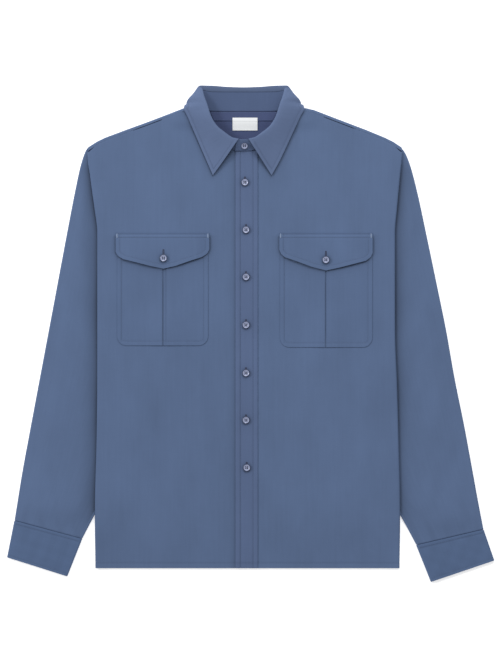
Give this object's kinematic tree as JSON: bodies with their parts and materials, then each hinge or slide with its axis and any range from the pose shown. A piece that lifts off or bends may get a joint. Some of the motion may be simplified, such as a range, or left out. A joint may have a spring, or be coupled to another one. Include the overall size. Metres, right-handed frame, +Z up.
{
  "type": "long-sleeved shirt laid flat",
  "caption": "Button-through long-sleeved cotton-type shirt laid flat, with pointed collar, chest pockets with pointed flaps, and sleeves tucked behind the body.",
  "frame": {"origin": "on the surface that the shirt lies on, under the middle of its outline", "axes": "+Z up off the surface, +Y from the hem to the collar, +X towards the wearer's left"},
  "size_m": [0.7792, 0.7933, 0.0236],
  "materials": {
    "cloth": "matte dusty blue twill with a faint vertical slub",
    "button": "semi-gloss dark blue resin",
    "label": "matte white woven tape"
  },
  "bodies": {
    "root": {"back": "cloth", "yoke": "cloth", "front_right": "cloth", "front_left": "cloth", "placket": "cloth", "pocket_right": "cloth", "pocket_left": "cloth", "flap_right": "cloth", "flap_left": "cloth", "sleeve_right": "cloth", "sleeve_left": "cloth", "cuff_right": "cloth", "cuff_left": "cloth", "collar_stand": "cloth", "collar_fall": "cloth", "neck_facing": "cloth", "label": "label", "button_collar": "button", "button_front_1": "button", "button_front_2": "button", "button_front_3": "button", "button_front_4": "button", "button_front_5": "button", "button_front_6": "button", "button_front_7": "button", "button_flap_right": "button", "button_flap_left": "button"}
  },
  "joints": []
}
